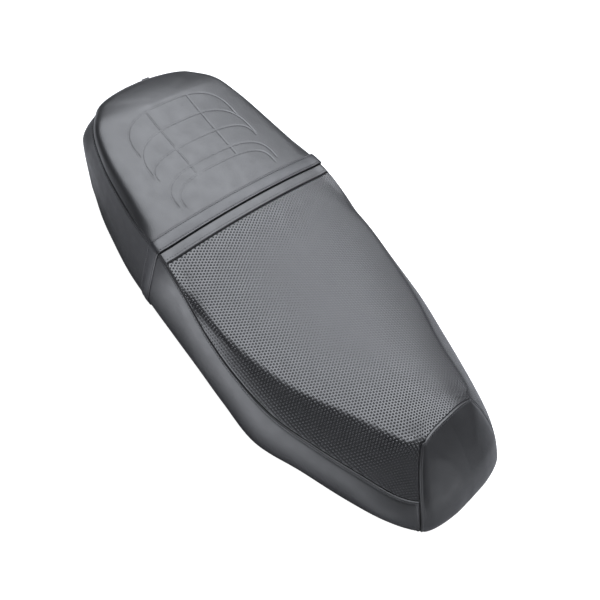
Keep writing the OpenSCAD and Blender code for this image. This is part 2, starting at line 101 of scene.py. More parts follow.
# Cross-sections: distance from the tail, then half width and height on the top crease,
# the side seam, the belly and the bottom edge.
SECTIONS = [
    (24, (78, 160), (84, 140), (99, 110), (78, 13)),
    (51, (104, 161), (104, 140), (108, 103), (90, 12)),
    (84, (118, 155), (118, 137), (118, 92), (104, 11)),
    (116, (125, 150), (128, 134), (127, 80), (115, 12)),
    (181, (132, 141), (142, 131), (142, 58), (133, 13)),
    (241, (134, 131), (149, 130), (149, 39), (141, 12)),
    (291, (142, 117), (153, 115), (152, 28), (145, 10)),
    (346, (148, 105), (155, 89), (157, 25), (151, 7)),
    (406, (138, 97), (157, 75), (161, 20), (158, 4)),
    (471, (120, 94), (152, 65), (163, 14), (162, 2)),
    (536, (91, 95), (134, 60), (147, 22), (145, 8)),
    (596, (69, 101), (114, 57), (128, 25), (128, 9)),
]
# The same four lines where they turn across the nose.
NOSE = [
    (640, (606, 62, 104), (640, 97, 54), (647, 112, 25), (646, 109, 10)),
    (680, (613, 55, 106), (664, 81, 56), (686, 86, 26), (690, 84, 10)),
    (695, (617, 47, 108), (674, 68, 58), (697, 70, 27), (698, 69, 10)),
    (725, (620, 23, 111), (682, 34, 61), (704, 35, 28), (702, 35, 10)),
    (750, (621, 0, 112), (683, 0, 62), (705, 0, 29), (702, 0, 10)),
]
# Where the lines end on the middle of the tail, and the degrees of ellipse they turn through.
TAIL = [(11, 162, 75), (0, 141, 65), (0, 110, 80), (8, 14, 82)]
TAIL_STEPS = 4
FIRST, CORNER, FRONT = 24, 680, 750
STRAP_REAR, STRAP_FRONT, STRIP_FRONT = 220, 239, 255
CROWN, SPINE_START, SPINE_END, HEM_W = 9, 60, 596, 14
BEND, CREASE_REACH, CROWN_KNOT = 0.35, 0.6, 0.8
CORE_Z = 60


def tail_point(side, end, share):
    """A point on the elliptic arc that closes a line round to the tail."""
    arc = math.radians(end[2])
    out = math.sin(arc * share) / math.sin(arc)
    ahead = (1 - math.cos(arc * share)) / (1 - math.cos(arc))
    return end[0] + (FIRST - end[0]) * ahead, side[0] * out, end[1] + (side[1] - end[1]) * out


def seat_rows():
    """The lines' rows as places and points: the tail's elliptic arcs, sides and nose."""
    places, points = [], []
    for i in range(TAIL_STEPS):
        places.append(FIRST * i / TAIL_STEPS)
        points.append([tail_point(*ends, i / TAIL_STEPS) for ends in zip(SECTIONS[0][1:], TAIL)])
    for row in SECTIONS:
        places.append(row[0])
        points.append([(row[0], w, h) for w, h in row[1:]])
    for row in NOSE:
        places.append(row[0])
        points.append(list(row[1:]))
    return np.array(places, float), np.array(points, float)


ROW_AT, ROWS = seat_rows()
ROW_SLOPE = np.array([
    (ROWS[min(i + 1, len(ROWS) - 1)] - ROWS[max(i - 1, 0)])
    / (ROW_AT[min(i + 1, len(ROWS) - 1)] - ROW_AT[max(i - 1, 0)])
    for i in range(len(ROWS))
])


def smooth_step(t):
    t = np.clip(t, 0, 1)
    return t * t * (3 - 2 * t)


def hermite(p1, m1, p2, m2, t):
    return (p1 * (1 + 2 * t) * (1 - t) ** 2 + m1 * t * (1 - t) ** 2
            + p2 * t * t * (3 - 2 * t) - m2 * t * t * (1 - t))


def line(places, k):
    """Points of line k (1 crease, 2 seam, 3 belly, 4 bottom edge) on the left side."""
    places = np.asarray(places, float)
    i = np.clip(np.searchsorted(ROW_AT, places, side="right") - 1, 0, len(ROW_AT) - 2)
    h = (ROW_AT[i + 1] - ROW_AT[i])[:, None]
    t = (places[:, None] - ROW_AT[i][:, None]) / h
    p, m = ROWS[:, k - 1], ROW_SLOPE[:, k - 1]
    return hermite(p[i], m[i] * h, p[i + 1], m[i + 1] * h, t)


def spine(places):
    x = np.clip(line(places, 1)[:, 0], SPINE_START, SPINE_END)
    return np.stack([x, 0 * x, line(x, 1)[:, 2] + CROWN], -1)


def top(places, band):
    """The crowned top from the spine, band 0, to the crease, band 1."""
    crease, middle = line(places, 1), spine(places)
    p = middle + (crease - middle) * band
    p[:, 2] = crease[:, 2] + (middle[:, 2] - crease[:, 2]) * (1 - band * band)
    return p


def hem(places):
    """The end of the hem, turned in under the bottom edge."""
    edge = line(places, 4)
    x = np.clip(edge[:, 0], SPINE_START, SPINE_END)
    inward = np.stack([x - edge[:, 0], -edge[:, 1], 0 * x], -1)
    return edge + inward / np.linalg.norm(inward, axis=1, keepdims=True) * HEM_W


def held(slope, most):
    """A slope no longer than a limit, so that the skin doesn't bulge over a short span."""
    return slope * np.minimum(1, most / np.linalg.norm(slope, axis=1, keepdims=True))


def knot(places, k):
    """The points that a profile passes through or aims at."""
    if k <= 0:
        return top(places, CROWN_KNOT)
    return hem(places) if k >= 5 else line(places, k)


def skin(places, band):
    """Points of the outer skin on the left side at one band: 0 crown to 5 end of the hem."""
    if band <= 1:
        return top(places, band)
    if band >= 4:
        return line(places, 4) + (hem(places) - line(places, 4)) * (band - 4)
    k = int(band)
    p0, p1, p2, p3 = (knot(places, j) for j in (k - 1, k, k + 1, min(k + 2, 4)))
    m1, m2 = (p2 - p0) * BEND, (p3 - p1) * BEND
    if k == 1:
        reach = np.linalg.norm(p2 - p1, axis=1, keepdims=True) * CREASE_REACH
        m1, m2 = held(m1, reach), held(m2, reach)
    return hermite(p1, m1, p2, m2, band - k)


# ---------------------------------------------------------------- dense table of the skin

PLACES = np.concatenate([np.arange(0, FIRST, 0.25), np.arange(FIRST, FRONT + 1)])
BANDS = np.concatenate([
    np.linspace(0, 1, 61), np.linspace(1, 2, 41)[1:], np.linspace(2, 3, 51)[1:],
    np.linspace(3, 4, 21)[1:], np.linspace(4, 5, 16)[1:],
])
PASSENGER_SOFT, RIDER_SOFT, NOSE_SOFT, NOSE_TOP_SOFT, HEM_SOFT = 5.5, 3.2, 8, 0.6, 2.5
RIDER_EASE, NOSE_SOFT_FROM, NOSE_EASE = 60, 600, 20
FINE_STEP, SOFT_FULL = 0.5, 2.5


def arc_length(points):
    return np.concatenate([[0], np.cumsum(np.linalg.norm(np.diff(points, axis=0), axis=1))])


def averaged(fine, sigma, reach):
    """A polyline with points a fine step apart, smoothed with a bell curve, its ends kept."""
    kernel = np.exp(-0.5 * (np.arange(-reach, reach + 1) * FINE_STEP / sigma) ** 2)
    kernel /= kernel.sum()
    before = 2 * fine[0] - fine[1:reach + 1][::-1]
    after = 2 * fine[-1] - fine[-reach - 1:-1][::-1]
    long = np.concatenate([before, fine, after])
    return np.stack([np.convolve(long[:, k], kernel, "valid") for k in range(3)], -1)


def softened(points, centre, sigma, low, high):
    """One cross-section with the corner at one of its points rounded, and its ends kept."""
    part = points[low:high + 1]
    s = arc_length(part)
    even = np.arange(0, s[-1] + FINE_STEP, FINE_STEP)
    fine = np.stack([np.interp(even, s, part[:, k]) for k in range(3)], -1)
    reach = min(int(3 * sigma / FINE_STEP) + 1, len(fine) - 1)
    smooth = averaged(fine, sigma, reach)
    away = np.abs(even - s[centre - low])
    share = 1 - smooth_step((away - SOFT_FULL * sigma) / (SOFT_FULL * sigma))
    fine = fine + (smooth - fine) * share[:, None]
    points[low:high + 1] = np.stack([np.interp(s, even, fine[:, k]) for k in range(3)], -1)


def crease_softness(place):
    """How far the top's edge is rounded: wide on the passenger's half, crisper on the rider's."""
    rider = smooth_step((place - STRAP_REAR) / RIDER_EASE)
    nose = smooth_step((place - NOSE_SOFT_FROM) / (CORNER - NOSE_SOFT_FROM))
    past = smooth_step((place - CORNER) / NOSE_EASE)
    return (PASSENGER_SOFT + (RIDER_SOFT - PASSENGER_SOFT) * rider
            + (NOSE_SOFT - RIDER_SOFT) * nose + (NOSE_TOP_SOFT - NOSE_SOFT) * past)


def skin_table():
    """The skin sampled at every place and band, with its crease and hem softened."""
    table = np.stack([skin(PLACES, b) for b in BANDS], 1)
    crease, seam, edge = (int(np.argmin(np.abs(BANDS - k))) for k in (1, 2, 4))
    for row, place in zip(table, PLACES):
        softened(row, crease, crease_softness(place), 0, seam)
        softened(row, edge, HEM_SOFT, seam, len(BANDS) - 1)
    return table


TABLE = skin_table()


def surface(places, bands, side=None):
    """Skin points; negative bands, or side -1, are on the right."""
    side = np.sign(bands) if side is None else side
    i = np.interp(places, PLACES, np.arange(len(PLACES)))
    j = np.interp(np.abs(bands), BANDS, np.arange(len(BANDS)))
    i0 = np.minimum(i.astype(int), len(PLACES) - 2)
    j0 = np.minimum(j.astype(int), len(BANDS) - 2)
    fi, fj = (i - i0)[..., None], (j - j0)[..., None]
    p = ((TABLE[i0, j0] * (1 - fi) + TABLE[i0 + 1, j0] * fi) * (1 - fj)
         + (TABLE[i0, j0 + 1] * (1 - fi) + TABLE[i0 + 1, j0 + 1] * fi) * fj)
    p[..., 1] *= np.where(side < 0, -1, 1)
    return p


# ---------------------------------------------------------------- grids over the skin

# Distances of the close rows and columns beside a seam.
NEAR_SEAM = np.array([0, 0.5, 1, 1.5, 2.1, 2.7, 3.3, 3.9, 4.5, 5.2, 6, 7.2, 9])


def even_places(low, high, step):
    """Places about step millimetres apart, measured round the outside of the seat."""
    fine = np.linspace(low, high, 1 + int((high - low) * 8))
    s = arc_length(surface(fine, np.full_like(fine, 1.5)))
    return np.interp(np.linspace(0, s[-1], max(2, round(s[-1] / step) + 1)), s, fine)


def columns(places, first, last, step, near_first=False, near_last=False):
    """Bands across each row, spaced by distance, with close ones beside a seam."""
    sides = 120
    bands = np.linspace(first, last, sides + 1)
    grid = surface(np.repeat(places[:, None], sides + 1, 1), np.repeat(bands[None], len(places), 0))
    s = np.zeros((len(places), sides + 1))
    s[:, 1:] = np.cumsum(np.linalg.norm(np.diff(grid, axis=1), axis=2), axis=1)
    longest = s[:, -1].max()
    start = NEAR_SEAM[-1] if near_first else 0
    end = NEAR_SEAM[-1] if near_last else 0
    count = max(3, round((longest - start - end) / step) + 1)
    rows = []
    for i in range(len(places)):
        total = s[i, -1]
        squeeze = min(1, total / (2.2 * (start + end) + 1e-9))
        a, b = start * squeeze, total - end * squeeze
        targets = [np.linspace(a, b, count)]
        if near_first:
            targets.insert(0, NEAR_SEAM[:-1] * squeeze)
        if near_last:
            targets.append(total - NEAR_SEAM[:-1][::-1] * squeeze)
        rows.append(np.interp(np.concatenate(targets), s[i], bands))
    return np.array(rows)


def weave_map(places, bands, points):
    """Where each point lies in the flat material: straight on top, wrapped down the flank."""
    crease = surface(places, np.sign(bands) * np.minimum(np.abs(bands), 1))
    seam = surface(places, np.sign(bands) * 2)
    run = seam - crease
    heading = run[..., :2] / np.maximum(np.linalg.norm(run[..., :2], axis=-1, keepdims=True), 1e-6)
    down = np.linalg.norm(points - crease, axis=-1, keepdims=True)
    flat = crease[..., :2] + heading * down
    return np.where(np.abs(bands)[..., None] > 1, flat, points[..., :2])


def block(places, bands, side=None):
    """A grid of points, quads and flat positions over rows of bands at a set of places."""
    rows = np.repeat(np.asarray(places, float)[:, None], bands.shape[1], 1)
    points = surface(rows, bands, side)
    flat = weave_map(rows, bands, points) if side is None else points[..., :2]
    n, m = bands.shape
    index = np.arange(n * m).reshape(n, m)
    quads = np.stack([index[:-1, :-1], index[1:, :-1], index[1:, 1:], index[:-1, 1:]], -1)
    if side == -1:
        quads = quads[..., ::-1]
    return points.reshape(-1, 3), quads.reshape(-1, 4), flat.reshape(-1, 2)


def core_of(points):
    """Points in the middle of the seat that the skin faces away from."""
    x = np.clip(points[:, 0], SPINE_START, SPINE_END)
    return np.stack([x, 0 * x, np.full(len(x), float(CORE_Z))], -1)


def welded(*blocks):
    """One mesh from several grids: shared points joined, collapsed faces dropped, facing out."""
    points = np.concatenate([b[0] for b in blocks])
    flat = np.concatenate([b[2] for b in blocks])
    offsets = np.cumsum([0] + [len(b[0]) for b in blocks[:-1]])
    quads = np.concatenate([b[1] + o for b, o in zip(blocks, offsets)])
    _, first, index = np.unique(
        np.round(points, 3) + 0.0, axis=0, return_index=True, return_inverse=True
    )
    quads = index.reshape(-1)[quads]
    faces = []
    for q in quads.tolist():
        f = [v for k, v in enumerate(q) if v != q[k - 1]]
        if len(set(f)) == len(f) >= 3:
            faces.append(f)
    points, flat = with_round_nose(points[first]), flat[first]
    if (normals_of(points, faces) * (points - core_of(points))).sum() < 0:
        faces = [f[::-1] for f in faces]
    return points, faces, flat


def crossed(points, faces):
    """Each face's corners, and the cross product of its diagonals: twice its area, outward."""
    corners = np.array([f if len(f) == 4 else f + f[-1:] for f in faces])
    first = points[corners[:, 2]] - points[corners[:, 0]]
    second = points[corners[:, 3]] - points[corners[:, 1]]
    return corners, np.cross(first, second)


def normals_of(points, faces):
    normals = np.zeros_like(points)
    corners, face = crossed(points, faces)
    for k in range(4):
        np.add.at(normals, corners[:, k], face)
    return normals / np.maximum(np.linalg.norm(normals, axis=1, keepdims=True), 1e-12)


# ---------------------------------------------------------------- seams and relief

def spaced(points, step):
    """The polyline again, with points an even step apart."""
    s = arc_length(points)
    even = np.linspace(0, s[-1], max(2, round(s[-1] / step) + 1))
    return np.stack([np.interp(even, s, points[:, k]) for k in range(3)], -1)


def mirrored(points):
    return points * np.array([1, -1, 1])


def tree_of(points):
    tree = KDTree(len(points))
    for i, p in enumerate(points):
        tree.insert(Vector(p), i)
    tree.balance()
    return tree


def distance_to(tree, points):
    return np.array([tree.find(Vector(p))[2] for p in points])


# The seams, as lines over the skin.
SEAM_POINTS = 600
unit = np.linspace(0, 1, SEAM_POINTS)
full = np.ones(SEAM_POINTS)
side_seam = surface(unit * CORNER, 2 * full)
nose_rise = surface(CORNER * full, 2 - unit)
nose_top = surface(CORNER + unit * (FRONT - CORNER), full)
nose_drop = surface(CORNER * full, 2 + 2.6 * unit)
above_hem = surface(CORNER * full, 2 + 1.5 * unit)
nose_half = np.concatenate([above_hem[::-1], nose_rise[1:-1], nose_top])

# The nose seam's corners: their rounding, how far round them the skin follows, over what width
# their moves are blended, and how far and how wide the seam's middle bows back.
NOSE_ROUND, NOSE_PULL, NOSE_BLEND = 18, 30, 9
NOSE_BOW, BOW_HALF = 6, 62
NOSE_FROM, NOSE_EVERY = 520, 6


def rounding():
    """The nose seam's own points, and how far each moves to round its corners."""
    whole = np.concatenate([nose_half[:-1], mirrored(nose_half)[::-1]])
    fine = spaced(whole, FINE_STEP)
    shift = averaged(fine, NOSE_ROUND, int(3 * NOSE_ROUND / FINE_STEP)) - fine
    shift[:, 0] -= NOSE_BOW * np.clip(1 - (fine[:, 1] / BOW_HALF) ** 2, 0, 1)
    return fine, shift


corner_line, corner_shift = rounding()


def with_round_nose(points):
    """Points near the nose seam, moved along with its rounded corners and bowed middle."""
    moved = points.copy()
    near = np.flatnonzero(points[:, 0] > NOSE_FROM)
    centres, shifts = corner_line[::NOSE_EVERY], corner_shift[::NOSE_EVERY]
    square = ((points[near][:, None] - centres[None]) ** 2).sum(2)
    least = square.min(1, keepdims=True)
    weight = np.exp((least - square) / (2 * NOSE_BLEND ** 2))
    weight *= np.exp(-least / NOSE_PULL ** 2) / weight.sum(1, keepdims=True)
    moved[near] += weight @ shifts
    return moved


nose_seam = with_round_nose(corner_line)
strap_seam = surface(STRAP_FRONT * full, 4 * unit - 2)
strip_seam = surface(STRIP_FRONT * full, 4 * unit - 2)
side_seam = with_round_nose(side_seam)
ALL_SEAMS = [side_seam, mirrored(side_seam), nose_seam, nose_drop, mirrored(nose_drop),
             strap_seam, strip_seam]
SEAM_STEP = 0.4
seam_tree = tree_of(np.concatenate([spaced(p, SEAM_STEP) for p in ALL_SEAMS]))

# Relief across a seam: the sunk seam, the ridge of the fold beside it, and the row of stitches.
SEAM_DEPTH, SEAM_HALF = 1.5, 1.9
RIDGE_H, RIDGE_AT, RIDGE_W = 0.35, 2.6, 1.2
STITCH_DEPTH, STITCH_AT, STITCH_W = 0.35, 4.5, 0.9


def seam_relief(d, stitched):
    """Height beside a seam: the sunk seam, and on the stitched side the fold under it."""
    height = -SEAM_DEPTH * (1 - smooth_step(d / SEAM_HALF))
    if stitched:
        height += RIDGE_H * np.exp(-((d - RIDGE_AT) / RIDGE_W) ** 2)
        height -= STITCH_DEPTH * np.exp(-((d - STITCH_AT) / STITCH_W) ** 2)
    return height


# The lines pressed into the passenger's half: arches and short ticks between them.
ARCHES = [(65, 84, 55), (97.5, 88, 60), (130.5, 86, 30), (161, 88, 42), (175.5, 80, 32)]
ARCH_POWER = 3.2
TICKS_Y = 35
TICKS = [(67, 97), (101, 128), (133, 157), (162, 174)]
PRESS_DEPTH, PRESS_W, PRESS_GRID, PRESS_STEP = 0.9, 0.65, 1.15, 0.3
PRESS_FROM, PRESS_TO, PRESS_HALF = 50, 215, 100


def pressed_lines():
    """Points along the pressed lines, seen from above."""
    lines = []
    for start, half, run in ARCHES:
        a = np.linspace(-1, 1, 500) * math.pi / 2
        y = half * np.sign(a) * np.abs(np.sin(a)) ** (2 / ARCH_POWER)
        x = start + run * (1 - np.abs(np.cos(a)) ** (2 / ARCH_POWER))
        lines.append(np.stack([x, y, 0 * x], -1))
    for low, high in TICKS:
        for y in (-TICKS_Y, TICKS_Y):
            x = np.linspace(low, high, 60)
            lines.append(np.stack([x, np.full_like(x, y), 0 * x], -1))
    return np.concatenate([spaced(path, PRESS_STEP) for path in lines])


def press_relief(points):
    tree = tree_of(pressed_lines())
    along = (points[:, 0] > PRESS_FROM) & (points[:, 0] < PRESS_TO)
    near = along & (np.abs(points[:, 1]) < PRESS_HALF)
    height = np.zeros(len(points))
    flat = points[near] * np.array([1, 1, 0])
    d = distance_to(tree, flat)
    height[near] = -PRESS_DEPTH * np.exp(-(d / PRESS_W) ** 2)
    return height


# ---------------------------------------------------------------- meshes

def to_seat(points):
    """Metres in the shared frame to millimetres from the tail."""
    return points / MM + np.array([MIDDLE, 0, 0])


def from_seat(points):
    """Millimetres from the tail to metres in the shared frame."""
    return (points - np.array([MIDDLE, 0, 0])) * MM


def collection_link(obj):
    bpy.context.scene.collection.objects.link(obj)
    return obj


def make_object(name, points, faces, flat=None):
    """A mesh object from millimetres, x counted from the tail."""
    mesh = bpy.data.meshes.new(name)
    mesh.from_pydata(from_seat(points).tolist(), [], faces)
    if flat is not None:
        layer = mesh.uv_layers.new(name="flat")
        index = np.zeros(len(mesh.loops), int)
        mesh.loops.foreach_get("vertex_index", index)
        layer.data.foreach_set("uv", (flat[index] * MM).ravel())
    mesh.shade_smooth()
    mesh.validate()
    return collection_link(bpy.data.objects.new(name, mesh))


def boundary_of(faces):
    """Directed edges that only one face uses."""
    seen = set()
    for f in faces:
        for k in range(len(f)):
            seen.add((f[k - 1], f[k]))
    return [e for e in seen if (e[1], e[0]) not in seen]


COVER_T, SWELL_EASE = 1.2, 25


def shell(points, faces, flat, inner=None):
    """Closes a skin with an inner face and a wall along its edge."""
    if inner is None:
        inner = points - normals_of(points, faces) * COVER_T
    n = len(points)
    walls = [[b, a, a + n, b + n] for a, b in boundary_of(faces)]
    back = [[v + n for v in f[::-1]] for f in faces]
    return np.concatenate([points, inner]), faces + back + walls, np.concatenate([flat, flat])


def relieved(points, faces, stitched, extra=None):
    """The skin with its seams sunk and, away from them, pushed out by the foam's swell."""
    d = distance_to(seam_tree, points)
    height = seam_relief(d, stitched) + swell_at(points) * smooth_step(d / SWELL_EASE)
    if extra is not None:
        height = height + extra
    return points + normals_of(points, faces) * height[:, None]


def panel(name, node, material, blocks, stitched=False, pressed=False):
    """One sewn panel of the cover, standing in for a CAD node."""
    points, faces, flat = welded(*blocks)
    extra = press_relief(points) if pressed else None
    points = relieved(points, faces, stitched, extra)
    closed = shell(points, faces, flat)
    obj = make_object(name, *closed)
    obj.data.materials.append(material)
    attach(obj, SEAT)
    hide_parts(node)


# ---------------------------------------------------------------- materials

def node_tree(name):
    """A new material, its node tree and its shader."""
    material = bpy.data.materials.new(name)
    material.use_nodes = True
    tree = material.node_tree
    return material, tree, tree.nodes["Principled BSDF"]


def add(tree, kind, **values):
    """Adds a node and sets its properties."""
    node = tree.nodes.new(kind)
    for key, value in values.items():
        setattr(node, key, value)
    return node


def noise(tree, coordinates, scale, detail=4):
    node = add(tree, "ShaderNodeTexNoise")
    node.inputs["Scale"].default_value = scale
    node.inputs["Detail"].default_value = detail
    tree.links.new(coordinates, node.inputs["Vector"])
    return node.outputs["Fac"]


def ranged(tree, value, low, high, from_low=0.3, from_high=0.7):
    """A value spread from one range to another; noise lies mostly within the default one."""
    node = add(tree, "ShaderNodeMapRange")
    limits = {"From Min": from_low, "From Max": from_high, "To Min": low, "To Max": high}
    for key, number in limits.items():
        node.inputs[key].default_value = number
    tree.links.new(value, node.inputs["Value"])
    return node.outputs["Result"]


def mixed(tree, factor, first, second):
    node = add(tree, "ShaderNodeMix", data_type="RGBA")
    node.inputs[6].default_value = (*first, 1)
    node.inputs[7].default_value = (*second, 1)
    tree.links.new(factor, node.inputs[0])
    return node


def bumped(tree, height, distance, normal=None, strength=1):
    node = add(tree, "ShaderNodeBump")
    node.inputs["Distance"].default_value = distance
    node.inputs["Strength"].default_value = strength
    tree.links.new(height, node.inputs["Height"])
    if normal is not None:
        tree.links.new(normal, node.inputs["Normal"])
    return node.outputs["Normal"]


def maths(tree, operation, *values):
    node = add(tree, "ShaderNodeMath", operation=operation)
    for i, value in enumerate(values):
        if isinstance(value, (int, float)):
            node.inputs[i].default_value = value
        else:
            tree.links.new(value, node.inputs[i])
    return node.outputs[0]


# Perforations: pitch along a row and from row to row, radius, softness of the wall, width of
# the raised rim and its share of the height, relief in metres, what they add to roughness, and
# the near-black painted into each hole as painted shade of its depth.
HOLE_PITCH, HOLE_ROW, HOLE_R = 4.18, 3.62, 0.66
HOLE_WALL, HOLE_RIM, HOLE_RIM_SHARE = 0.15, 0.8, 0.5
HOLE_BUMP, HOLE_ROUGH, HOLE_PAINTED_SHADE = 0.00075, 0.45, (0.0015, 0.0015, 0.0015, 1)
PERFORATED_SPECULAR = 0.6


def hole_distance(tree):
    """Distance in metres to the nearest perforation: two rectangular lattices, interleaved."""
    flat = add(tree, "ShaderNodeUVMap", uv_map="flat").outputs["UV"]
    cell = (HOLE_PITCH * MM / 2, HOLE_ROW * MM, 1)
    found = []
    for offset in ((0, 0, 0), (cell[0], cell[1], 0)):
        moved = add(tree, "ShaderNodeVectorMath", operation="ADD")
        moved.inputs[1].default_value = offset
        tree.links.new(flat, moved.inputs[0])
        wrap = add(tree, "ShaderNodeVectorMath", operation="WRAP")
        wrap.inputs[1].default_value = cell
        wrap.inputs[2].default_value = tuple(-c for c in cell)
        tree.links.new(moved.outputs[0], wrap.inputs[0])
        length = add(tree, "ShaderNodeVectorMath", operation="LENGTH")
        tree.links.new(wrap.outputs[0], length.inputs[0])
        found.append(length.outputs["Value"])
    return maths(tree, "MINIMUM", *found)


GRAIN_SCALE, WAVE_SCALE, WAVE_BUMP, WAVE_SHARE = 850, 28, 0.0006, 0.5


def vinyl(name, dark, light, roughness, grain, perforated=False):
    """Black vinyl: a fine leather grain, uneven polish, and perforations if asked, with painted
    shade filling each hole.
    """
    material, tree, shader = node_tree(name)
    place = add(tree, "ShaderNodeTexCoord").outputs["Object"]
    patches = noise(tree, place, 9, 3)
    colour = mixed(tree, ranged(tree, patches, 0, 1), dark, light).outputs[2]
    polish = ranged(tree, noise(tree, place, 60, 5), roughness - 0.04, roughness + 0.05)
    cells = add(tree, "ShaderNodeTexVoronoi", feature="SMOOTH_F1")
    cells.inputs["Scale"].default_value = GRAIN_SCALE
    tree.links.new(place, cells.inputs["Vector"])
    normal = bumped(tree, cells.outputs["Distance"], grain)
    normal = bumped(tree, noise(tree, place, WAVE_SCALE, 2), WAVE_BUMP, normal, WAVE_SHARE)
    if perforated:
        d = hole_distance(tree)
        wall = ranged(tree, d, 0, 1, (HOLE_R - HOLE_WALL) * MM, (HOLE_R + HOLE_WALL) * MM)
        rim = ranged(tree, d, 1, 0, HOLE_R * MM, (HOLE_R + HOLE_RIM) * MM)
        height = maths(tree, "ADD", wall, maths(tree, "MULTIPLY", rim, HOLE_RIM_SHARE))
        normal = bumped(tree, height, HOLE_BUMP, normal)
        shader.inputs["Specular IOR Level"].default_value = PERFORATED_SPECULAR
        # Painted shade: the near-black inside each perforation stands in for the shade down in the
        # hole.
        hole_shade = add(tree, "ShaderNodeMix", data_type="RGBA")
        hole_shade.inputs[6].default_value = HOLE_PAINTED_SHADE
        tree.links.new(wall, hole_shade.inputs[0])
        tree.links.new(colour, hole_shade.inputs[7])
        colour = hole_shade.outputs[2]
        within = maths(tree, "SUBTRACT", 1.0, wall)
        polish = maths(tree, "ADD", polish, maths(tree, "MULTIPLY", within, HOLE_ROUGH))
    tree.links.new(colour, shader.inputs["Base Color"])
    tree.links.new(polish, shader.inputs["Roughness"])
    tree.links.new(normal, shader.inputs["Normal"])
    return material


def plain(name, dark, light, roughness, metallic=0.0, grain=0.0002, scale=300):
    """Moulded plastic, rubber, plated or painted metal: tone, polish and surface from noise."""
    material, tree, shader = node_tree(name)
    place = add(tree, "ShaderNodeTexCoord").outputs["Object"]
    patches = noise(tree, place, 25, 4)
    colour = mixed(tree, ranged(tree, patches, 0, 1), dark, light).outputs[2]
    tree.links.new(colour, shader.inputs["Base Color"])
    polish = ranged(tree, noise(tree, place, 90, 5), roughness - 0.06, roughness + 0.08)
    tree.links.new(polish, shader.inputs["Roughness"])
    tree.links.new(bumped(tree, noise(tree, place, scale, 3), grain), shader.inputs["Normal"])
    shader.inputs["Metallic"].default_value = metallic
    return material


SMOOTH = vinyl("vinyl_smooth", (0.009, 0.009, 0.010), (0.013, 0.013, 0.014), 0.39, 0.00007)
SIDE = vinyl("vinyl_side", (0.009, 0.009, 0.010), (0.013, 0.013, 0.014), 0.42, 0.0001)
PERFORATED = vinyl(
    "vinyl_perforated", (0.003, 0.003, 0.004), (0.005, 0.005, 0.006), 0.32, 0.00006, True
)
STRAP_VINYL = vinyl("vinyl_strap", (0.010, 0.010, 0.012), (0.014, 0.014, 0.016), 0.40, 0.00008)
THREAD = plain("thread_black", (0.012, 0.012, 0.013), (0.03, 0.03, 0.032), 0.6, scale=2500)
FOAM = plain("foam_grey", (0.10, 0.10, 0.10), (0.16, 0.16, 0.155), 0.9, grain=0.0008, scale=900)
TAPE = plain("tape_black", (0.008, 0.008, 0.008), (0.02, 0.02, 0.02), 0.7, grain=0.0003, scale=1500)
# Finishes of the CAD nodes that stay in sight, by the material slot they came with.
HARDWARE = {
    "pan_plastic": plain(
        "pan_black", (0.012, 0.012, 0.012), (0.02, 0.02, 0.02), 0.5, grain=0.00025, scale=700
    ),
    "zinc_steel": plain(
        "zinc_steel", (0.45, 0.45, 0.43), (0.6, 0.6, 0.57), 0.36, 1.0, 0.00005, 600
    ),
    "bracket_steel": plain(
        "bracket_black", (0.012, 0.012, 0.013), (0.022, 0.022, 0.022), 0.34, grain=0.0001, scale=900
    ),
    "pin_steel": plain(
        "pin_steel", (0.55, 0.55, 0.55), (0.68, 0.68, 0.68), 0.2, 1.0, 0.00003, 500
    ),
    "bush_nylon": plain(
        "bush_nylon", (0.5, 0.49, 0.45), (0.6, 0.58, 0.53), 0.4, grain=0.00008, scale=500
    ),
    "insert_brass": plain(
        "insert_brass", (0.55, 0.38, 0.14), (0.68, 0.49, 0.2), 0.3, 1.0, 0.00005, 700
    ),
    "foot_rubber": plain(
        "foot_rubber", (0.012, 0.012, 0.012), (0.028, 0.028, 0.027), 0.75, grain=0.0003, scale=900
    ),
}
SHARP_DEGREES = 32


def finish_hardware():
    """Gives each CAD node that stays in sight its procedural finish and clean edges."""
    for node in frame["nodes"].values():
        slot_name = node.data.materials[0].name.split(".")[0]
        if slot_name not in HARDWARE:
            continue
        node.data.materials.clear()
        node.data.materials.append(HARDWARE[slot_name])
        node.data.shade_smooth()
        node.data.set_sharp_from_angle(angle=math.radians(SHARP_DEGREES))


finish_hardware()

# ---------------------------------------------------------------- foam

# How far the foam starts inside its CAD solid, the most it may swell, its grid, the frames the
# pressure runs for, the pressure, how far from a seam it is free, and the cover's share of it.
FOAM_START, FOAM_CAP, FOAM_VOXEL, FOAM_FRAMES = 3.2, 2.8, 6, 20
FOAM_PRESSURE, FOAM_HELD, SWELL_SHARE = 4, 12, 0.3
SWELL_NEAR, SWELL_MELLOW, FOAM_FILL = 6, 4, 0.9


def only_selected(obj):
    for other in bpy.context.selected_objects:
        other.select_set(False)
    obj.select_set(True)
    bpy.context.view_layer.objects.active = obj


def vertices_of(obj):
    points = np.zeros(len(obj.data.vertices) * 3)
    obj.data.vertices.foreach_get("co", points)
    return points.reshape(-1, 3)


def set_vertices(obj, points):
    obj.data.vertices.foreach_set("co", points.ravel())
    obj.data.update()


def vertex_normals(obj):
    normals = np.zeros(len(obj.data.vertices) * 3)
    obj.data.vertex_normals.foreach_get("vector", normals)
    return normals.reshape(-1, 3)


def swollen(obj):
    """Runs the cloth pressure and returns where each point ended up, capped."""
    start = vertices_of(obj)
    cloth = obj.modifiers.new("pressure", "CLOTH")
    cloth.settings.use_pressure = True
    cloth.settings.uniform_pressure_force = FOAM_PRESSURE
    cloth.settings.effector_weights.gravity = 0
    cloth.point_cache.frame_end = FOAM_FRAMES
    for f in range(1, FOAM_FRAMES + 1):
        bpy.context.scene.frame_set(f)
    only_selected(obj)
    bpy.ops.object.modifier_apply(modifier=cloth.name)
    bpy.context.scene.frame_set(1)
    moved = vertices_of(obj) - start
    length = np.linalg.norm(moved, axis=1, keepdims=True)
    return start, moved * np.minimum(1, FOAM_CAP * MM / np.maximum(length, 1e-9))


